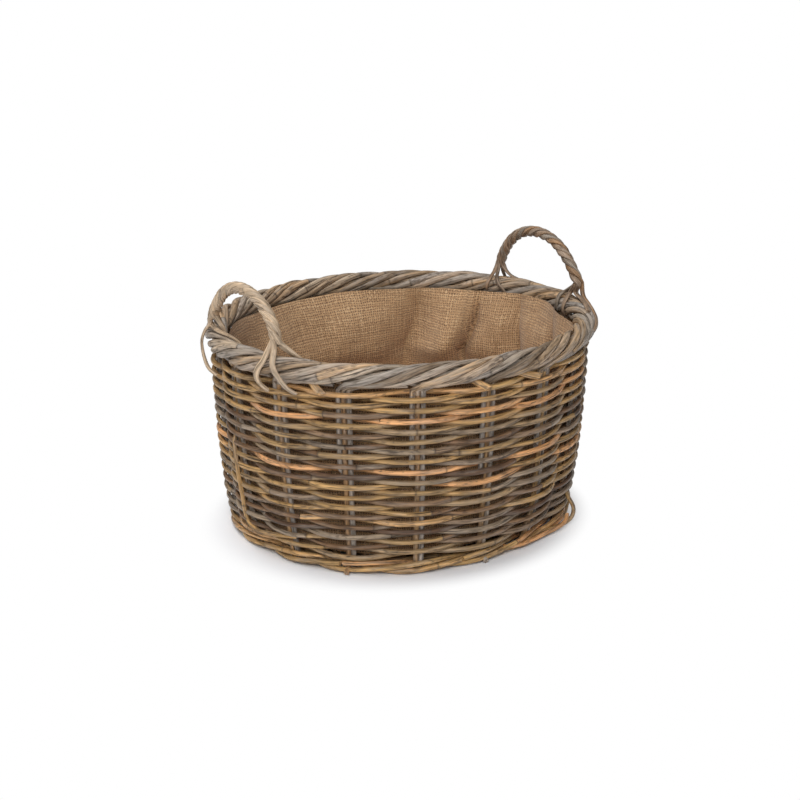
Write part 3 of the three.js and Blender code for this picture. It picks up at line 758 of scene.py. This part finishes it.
def rim_route(station, side):
    """A stake's upper part: it bends to the right out of the wall and winds round the core"""
    reach = RIM_REACH + (RIM_CROWN if side == 0 else 0)

    def laid(place):
        angle = station_angle(station + place / RIM_RUN)
        turn = min(RIM_START + 2 * pi * place / RIM_LAY - side * RIM_SPACING, RIM_TUCKS[side])
        stray = stray_at(RIM_STRAY, place, station * 1.7, side * 5)
        return on_oval(angle, 0, RIM_Z) + around_rim(angle, turn) * (reach + stray)

    def from_core(point):
        core = on_oval(math.atan2(point.y / HALF_WIDTH, point.x / HALF_LENGTH), 0, RIM_Z)
        return (point - core).normalized()

    upright = stake_route(station, side)
    join = RIM_JOINS[side]
    end = RIM_ENDS[side] * RIM_RUN
    places = [join + (end - join) * i / RIM_STEPS for i in range(RIM_STEPS + 1)]
    points = [upright(STAKE_BEND_Z), upright(STAKE_BEND_Z + RIM_BEND_RISE)]
    points += [laid(place) for place in places]
    presses = [from_core(point) * RIM_PRESS for point in points]
    route, lengths = smooth_route(points)
    return route, lengths, follow(presses, lengths)


def roped_rim():
    chance.seed(11)
    core = new_canes("rim_core_hoop")
    lay_cane(core, lambda place: on_oval(place / HALF_LENGTH, 0, RIM_Z), 0,
             2 * pi * HALF_LENGTH - RIM_CORE_JOINT, RIM_CORE_DIAMETER, RIM_CORE_TONES, step=18)
    finish_canes(core, "rim", ["rim_core"])

    canes = new_canes("rim_rope")
    for station in range(STATIONS):
        for side in (-1, 0, 1):
            route, lengths, press = rim_route(station, side)
            width = RIM_CANE_DIAMETER * chance.uniform(*RIM_SIZES)
            widths = follow([STAKE_DIAMETER] * 2 + [width] * (RIM_STEPS + 1), lengths)
            low = chance.choice(RIM_TONES)
            lay_cane(canes, route, 0, lengths[-1], widths, (low, low + RIM_TONE_REACH), step=6, press=press)
    for first, last in RIM_STUBS:
        route, lengths = smooth_route([rim_place(first + (last - first) * share, turn, lift)
                                       for share, turn, lift in STUB_BENDS])
        lay_cane(canes, route, 0, lengths[-1], RIM_CANE_DIAMETER, STUB_TONES, step=4, cuts=(0, STUB_CUT))
    nodes = [f"rim_strand_{i + 1:02d}" for i in range(RIM_STRANDS)]
    finish_canes(canes, "rim", nodes)


def rim_normal(degrees, turn_degrees):
    return around_rim(radians(degrees), radians(turn_degrees))


def rim_place(degrees, turn_degrees, lift):
    """A point on the rim: degrees round the basket, degrees round the rim, and lift off its surface"""
    centre = on_oval(radians(degrees), 0, RIM_Z)
    return centre + rim_normal(degrees, turn_degrees) * (RIM_DIAMETER / 2 + lift)


def handle_arch(sizes):
    """Centre line of a handle at the +X end, from its -Y foot to its +Y foot, by the share of it"""
    half = sizes["span"] / 2
    foot_angle = math.asin(half / HALF_WIDTH)
    fork_z = RIM_HEIGHT + FORK_HEIGHT
    height = sizes["top"] - HANDLE_REACH - STRAND_WIDTH / 2 * (1 - STRAND_PRESS) - fork_z

    def arch(share):
        sweep = pi * share
        flare = sizes["flares"][0 if share < 0.5 else 1] * abs(cos(sweep)) ** FLARE_POWER
        z = fork_z + height * sin(sweep)
        x = HALF_LENGTH * cos(foot_angle) + math.tan(sizes["lean"]) * (z - RIM_Z)
        return Vector((x, -(half + flare) * cos(sweep), z))

    return arch


def rope_handle(side, sizes, tails, material):
    """Flattened canes twisted over an arch, with ends that part at its feet and bend over the rim"""
    chance.seed(side)
    arch = handle_arch(sizes)
    across = Vector((cos(sizes["lean"]), 0, -sin(sizes["lean"])))
    ahead = 1 if side == "right" else -1  # the left handle is turned half round the basket
    half_turn = Vector((ahead, ahead, 1))
    first_share, last_share = sizes["forks"]
    canes = new_canes(side + "_handle_rope")
    for strand in range(HANDLE_STRANDS):
        phase = 2 * pi * (strand + 0.5) / HANDLE_STRANDS
        first_tail, last_tail = (
            [(rim_place(*bend), rim_normal(*bend[:2]) * TAIL_PRESS, width) for bend in foot[strand]]
            for foot, width in zip(tails, sizes["tail_widths"]))
        stops = first_tail[::-1]
        for i in range(ARCH_STEPS + 1):
            share = first_share + (last_share - first_share) * i / ARCH_STEPS
            tangent = (arch(share + ARCH_SAMPLE) - arch(share - ARCH_SAMPLE)).normalized()
            above = across.cross(tangent)
            twist = share + sizes["ease"] * sin(pi * share)
            stray = stray_at(TWIST_STRAY, share, strand * 3, ahead)
            turn = phase - 2 * pi * HANDLE_TURNS * twist + stray
            lean = above * cos(turn) + across * sin(turn)
            reach = HANDLE_REACH + stray_at(STRAND_STRAY, share, strand * 5, ahead + 4)
            place = arch(share) + lean * reach
            flat = above * cos(turn + STRAND_TILT) + across * sin(turn + STRAND_TILT)
            stops.append((place * half_turn, flat * half_turn * STRAND_PRESS, STRAND_WIDTH))
        points, presses, widths = zip(*stops, *last_tail)
        route, lengths = smooth_route(points)
        low = chance.uniform(0, HANDLE_TONES)
        tones = (low, low + HANDLE_TONE_REACH)
        lay_cane(canes, route, 0, lengths[-1], follow(widths, lengths), tones, step=4, cuts=HANDLE_CUTS,
                 press=follow(presses, lengths))
    nodes = [f"{side}_handle_strand_{i + 1:02d}" for i in range(HANDLE_STRANDS)]
    finish_canes(canes, material, nodes)


def fold_depth(degrees, low):
    """How far a billow of the lining stands in from the wall; low goes from 0 at the hem to 1 lower down"""
    creases = [crease[0] + (crease[1] - crease[0]) * low ** 3 for crease in LINING_CREASES]
    for i, (_, _, depth, lean, softness) in enumerate(LINING_CREASES):
        following = (i + 1) % len(creases)
        share = (degrees - creases[i]) % 360 / ((creases[following] - creases[i]) % 360)
        if share < 1:
            roundness = softness + (LINING_CREASES[following][4] - softness) * share
            return depth * sin(pi * share ** lean) ** roundness
    return 0


def swell_about(degrees, centre, half, amount):
    """A smooth rise to an amount and back about an angle"""
    away = abs((degrees - centre + 180) % 360 - 180)
    return amount * (0.5 + 0.5 * cos(pi * min(away / half, 1)))


def lining_place(degrees, share):
    """A point of the lining's wall, from its foot to its hem"""
    angle = radians(degrees)
    hem = sum((swell_about(degrees, *rise) for rise in HEM_RISES), HEM_Z)
    ripple = wander_round(angle, HEM_RIPPLE_PATCHES, 5)
    z = LINING_FLOOR_Z + (hem + HEM_RIPPLE * ripple - LINING_FLOOR_Z) * share
    drop = hem - z
    low = min(1, drop / FOLD_DROP)
    foot = min(1, share * FOOT_FADE)
    tuck = min(1, max(0, (drop - TUCK_DROP[0]) / (TUCK_DROP[1] - TUCK_DROP[0])))
    tucked = 1 - TUCK_LOSS * tuck * tuck * (3 - 2 * tuck)
    belly = foot * (HEM_FOLD + (1 - HEM_FOLD) * sin(pi / 2 * low)) * tucked
    stand = (swell_about(degrees, *HEM_STAND) * (1 - STAND_LOSS * low)
             - swell_about(degrees, *HEM_TUCK) * (1 - low))
    dent = LINING_DENT * wander_round(angle, LINING_DENT_PATCHES, z * LINING_DENT_PACE)
    dent *= min(1, 2 * low, foot)
    depth = fold_depth(degrees + CREASE_STRAY * ripple * low, low) * belly + stand + dent
    return on_oval(angle, wall_offset(z, angle) - LINING_GAP - depth, z)


def finish_cloth(name, shape):
    """Makes a sheet a piece of the lining"""
    piece = add_sheet(name, shape, MATERIALS["hessian"])
    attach(piece, "root")
    return piece


def lining_wall():
    """A band of cloth round the inside, hung from under the rim in soft folds"""
    shape = bmesh.new()
    threads = shape.loops.layers.uv.new("threads")
    bmesh.ops.create_grid(shape, x_segments=LINING_COLUMNS, y_segments=LINING_ROWS, size=0.5)
    run = LINING_FULLNESS * pi * (HALF_LENGTH + HALF_WIDTH - 2 * STAKE_SETBACK - 2 * LINING_GAP)
    ring = [lining_place(360 * i / LINING_COLUMNS, THREAD_LEVEL) for i in range(LINING_COLUMNS + 1)]
    _, lengths = smooth_route(ring)
    for face in shape.faces:
        for corner in face.loops:
            column = round((corner.vert.co.x + 0.5) * LINING_COLUMNS)
            rise = (corner.vert.co.y + 0.5) * (HEM_Z - LINING_FLOOR_Z)
            corner[threads].uv = (lengths[column] / lengths[-1] * run, rise)
    for vert in shape.verts:
        vert.co = lining_place(360 * (vert.co.x + 0.5), vert.co.y + 0.5) * MM
    bmesh.ops.remove_doubles(shape, verts=shape.verts, dist=0.01 * MM)
    bmesh.ops.recalc_face_normals(shape, faces=shape.faces)
    for face in shape.faces:
        face.smooth = True
    piece = finish_cloth("lining_wall", shape)
    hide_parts("hessian_lining")


def lining_floor():
    """An oval of cloth on the woven base, sewn to the lining's wall"""
    shape = bmesh.new()
    threads = shape.loops.layers.uv.new("threads")
    bmesh.ops.create_circle(shape, cap_ends=True, segments=LINING_FLOOR_SIDES, radius=1)
    for vert in shape.verts:
        angle = math.atan2(vert.co.y, vert.co.x)
        vert.co = on_oval(angle, wall_offset(LINING_FLOOR_Z, angle) - LINING_GAP, LINING_FLOOR_Z) * MM
    for face in shape.faces:
        for corner in face.loops:
            corner[threads].uv = corner.vert.co.xy / MM
    piece = finish_cloth("lining_floor", shape)


def hoop_place(angle):
    return on_oval(angle, wall_offset(BASE_Z, angle) - HOOP_GAP, BASE_Z)


def hoop_span(axis, place):
    """Where a line across the base meets the inside of its hoop, at both ends"""
    points = [hoop_place(radians(360 * i / HOOP_STEPS)) for i in range(HOOP_STEPS)]
    across = [point[1 - axis] for point in points if abs(point[axis] - place) < HOOP_SAMPLE]
    return (min(across) + HOOP_DIAMETER / 2 + HOOP_CLEARANCE,
            max(across) - HOOP_DIAMETER / 2 - HOOP_CLEARANCE)


def woven_base():
    chance.seed(7)
    hoop = new_canes("base_hoop_cane")
    lay_cane(hoop, lambda place: hoop_place(place / HALF_LENGTH), 0, 2 * pi * HALF_LENGTH - HOOP_JOINT,
             HOOP_DIAMETER, HOOP_TONES, step=14)
    finish_canes(hoop, "weaver", ["base_hoop"])

    low, high = hoop_span(0, 0)
    spacing = (high - low) / (BASE_STICK_COUNT + 1)
    sticks = new_canes("base_sticks")
    for index in range(BASE_STICK_COUNT):
        y = low + (index + 1) * spacing
        first, last = hoop_span(1, y)
        lay_cane(sticks, lambda place, y=y: Vector((place, y, BASE_Z)), first, last, BASE_CANE_DIAMETER,
                 BASE_STICK_TONES, step=16)
    nodes = [f"base_stick_{i + 1:02d}" for i in range(BASE_STICK_COUNT)]
    finish_canes(sticks, "weaver", nodes)

    weave = new_canes("base_weave")
    left, right = hoop_span(1, 0)
    passes = math.floor((right - left) / BASE_PITCH) - 1
    for index in range(passes):
        x = (left + right) / 2 + (index - (passes - 1) / 2) * BASE_PITCH
        side = 1 if index % 2 == 0 else -1

        def route(place, x=x, side=side):
            swing = cos(pi * (place - low) / spacing)
            return Vector((x, place, BASE_Z + side * BASE_REACH * swing))

        lay_cane(weave, route, *hoop_span(0, x), BASE_CANE_DIAMETER, BASE_WEAVE_TONES, step=9)
    finish_canes(weave, "weaver", ["base_weaver"])


def floor_material():
    """White studio paper: pure white from afar, and matt near the basket so that it keeps the shadow"""
    material, tree = new_material("studio_floor")
    place = node(tree, "TexCoord").outputs["Object"]
    shift = (SHADOW_SHIFT[0] * MM, SHADOW_SHIFT[1] * MM, 0)
    shares = (1 / (HALF_LENGTH * MM), 1 / (HALF_WIDTH * MM), 0)
    shifted = node(tree, "VectorMath", {0: place, 1: shift}, operation="SUBTRACT")
    ovals = node(tree, "VectorMath", {0: shifted, 1: shares}, operation="MULTIPLY")
    away = node(tree, "VectorMath", {0: ovals}, operation="LENGTH").outputs["Value"]
    far = node(tree, "MapRange",
               {"Value": away, "From Min": SHADOW_FADE[0], "From Max": SHADOW_FADE[1],
                "To Min": 0.0, "To Max": 1.0}, interpolation_type="SMOOTHSTEP")
    path = node(tree, "LightPath")
    seen = node(tree, "Math", {0: path.outputs["Is Camera Ray"], 1: path.outputs["Is Glossy Ray"]},
                operation="MAXIMUM")
    shown = node(tree, "Math", {0: seen, 1: path.outputs["Is Transmission Ray"]}, operation="MAXIMUM")
    white = node(tree, "Math", {0: far, 1: shown}, operation="MULTIPLY")
    matt = node(tree, "BsdfDiffuse", {"Color": linear("#f9fbff")})
    plain = node(tree, "Emission", {"Color": (1, 1, 1, 1), "Strength": 1.0})
    mixed = node(tree, "MixShader", {0: white, 1: matt, 2: plain})
    node(tree, "OutputMaterial", {"Surface": mixed})
    return material


def studio():
    """Floor, soft lamps, white surroundings and the camera"""
    shape = bmesh.new()
    bmesh.ops.create_circle(shape, cap_ends=True, segments=FLOOR_SIDES, radius=FLOOR_RADIUS)
    floor = add_sheet("studio_floor", shape, floor_material())

    for name, (place, size, watts) in LAMPS.items():
        lamp = bpy.data.lights.new(name, "AREA")
        lamp.size = size
        lamp.energy = watts
        holder = add_object(name, lamp)
        holder.location = place
        holder.rotation_euler = (-Vector(place)).to_track_quat("-Z", "Y").to_euler()

    world = bpy.data.worlds.new("studio")
    bpy.context.scene.world = world
    world.use_nodes = True
    tree = world.node_tree
    tree.nodes.clear()
    path = node(tree, "LightPath")
    soft = node(tree, "Background", {"Color": (1, 1, 1, 1), "Strength": WORLD_STRENGTH})
    white = node(tree, "Background", {"Color": (1, 1, 1, 1), "Strength": 1.0})
    shown = node(tree, "MixShader", {0: path.outputs["Is Camera Ray"], 1: soft, 2: white})
    node(tree, "OutputWorld", {"Surface": shown})

    camera = bpy.data.cameras.new("camera")
    camera.sensor_width = SENSOR
    camera.lens = LENS
    camera.shift_x = (PHOTO_SIZE / 2 - AIM_PIXEL[0]) / PHOTO_SIZE
    camera.shift_y = (AIM_PIXEL[1] - PHOTO_SIZE / 2) / PHOTO_SIZE
    holder = add_object("camera", camera)
    level = cos(CAMERA_RISE)
    back = Vector((sin(CAMERA_TURN) * level, -cos(CAMERA_TURN) * level, sin(CAMERA_RISE)))
    holder.location = (UP * AIM_HEIGHT + back * CAMERA_DISTANCE) * MM
    holder.rotation_euler = (-back).to_track_quat("-Z", "Y").to_euler()
    bpy.context.scene.camera = holder
    bpy.context.scene.view_settings.view_transform = "Standard"


MATERIALS = {
    "weaver": cane_material(
        "rattan_weaver",
        ["#5e4532", "#836344", "#93826f", "#a58456", "#b28b58", "#c29c66", "#cf9a66", "#dba26c"],
        greying=0.3, staining=0.6, roughness=0.5),
    "stake": cane_material(
        "rattan_stake", ["#a5805a", "#ba9868", "#ab9c8c", "#a0968c"],
        greying=0.4, staining=0.5, roughness=0.55),
    "rim": cane_material(
        "rattan_rim", ["#84705a", "#b29574", "#a0958a", "#b6a188", "#958d85", "#b99b7a", "#cfa571"],
        greying=0.5, staining=0.65, roughness=0.5),
    "pale_handle": cane_material(
        "pale_rattan", ["#b99c7c", "#cbb192", "#b39d84"],
        greying=0.3, staining=0.3, roughness=0.55, wear=0.75),
    "grey_handle": cane_material(
        "grey_rattan", ["#857461", "#948779", "#9c7957", "#8d8275"],
        greying=0.45, staining=0.5, roughness=0.55, wear=0.8),
    "cut_end": cut_end_material(),
    "hessian": hessian_material(),
}

studio()
wall_weave()
foot_wale()
wall_stakes()
roped_rim()
rope_handle("right", RIGHT_HANDLE, RIGHT_TAILS, "grey_handle")
rope_handle("left", LEFT_HANDLE, LEFT_TAILS, "pale_handle")
woven_base()
lining_wall()
lining_floor()
